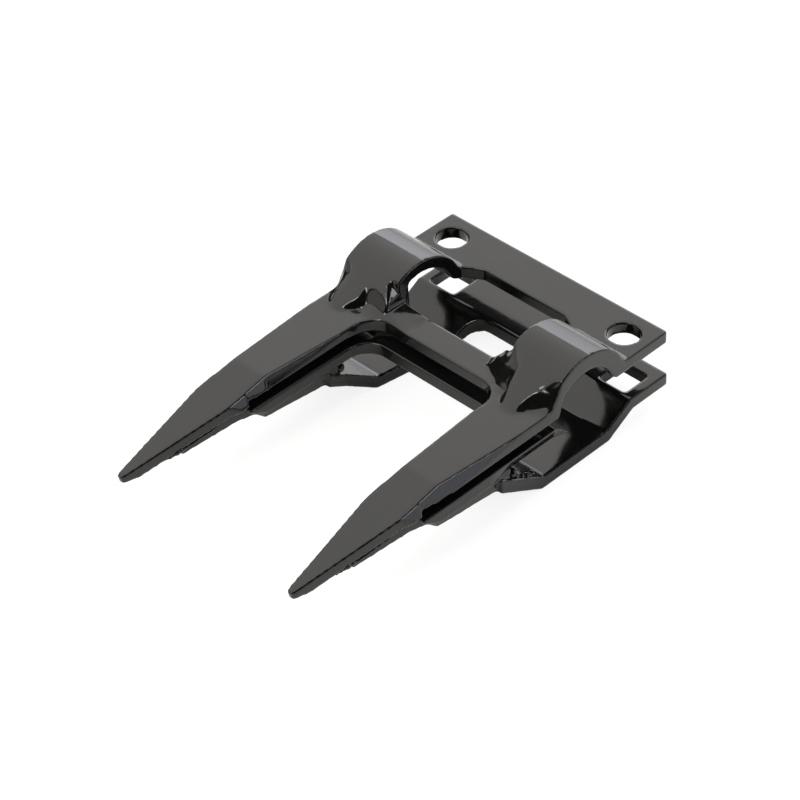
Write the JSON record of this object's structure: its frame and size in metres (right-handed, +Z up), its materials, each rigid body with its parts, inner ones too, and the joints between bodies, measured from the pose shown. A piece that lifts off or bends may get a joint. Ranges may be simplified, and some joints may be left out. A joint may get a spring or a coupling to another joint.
{
  "type": "mower knife guard",
  "caption": "Mower knife guard with pointed fingers: a pressed upper plate with raised arches over a trough-shaped lower plate, welded together under the points.",
  "frame": {"origin": "midway between the two round bolt holes, on the top face of the upper plate", "axes": "+Z up out of the upper plate, the fingers point along -Y, the bolt holes lie on X"},
  "size_m": [0.0952, 0.1592, 0.0414],
  "materials": {
    "gloss_black_paint": "gloss black enamel on pressed steel",
    "painted_weld": "gloss black enamel on a weld bead"
  },
  "bodies": {
    "root": {"upper_half": "gloss_black_paint", "lower_half": "gloss_black_paint", "left_nose_weld": "painted_weld", "right_nose_weld": "painted_weld"}
  },
  "joints": []
}
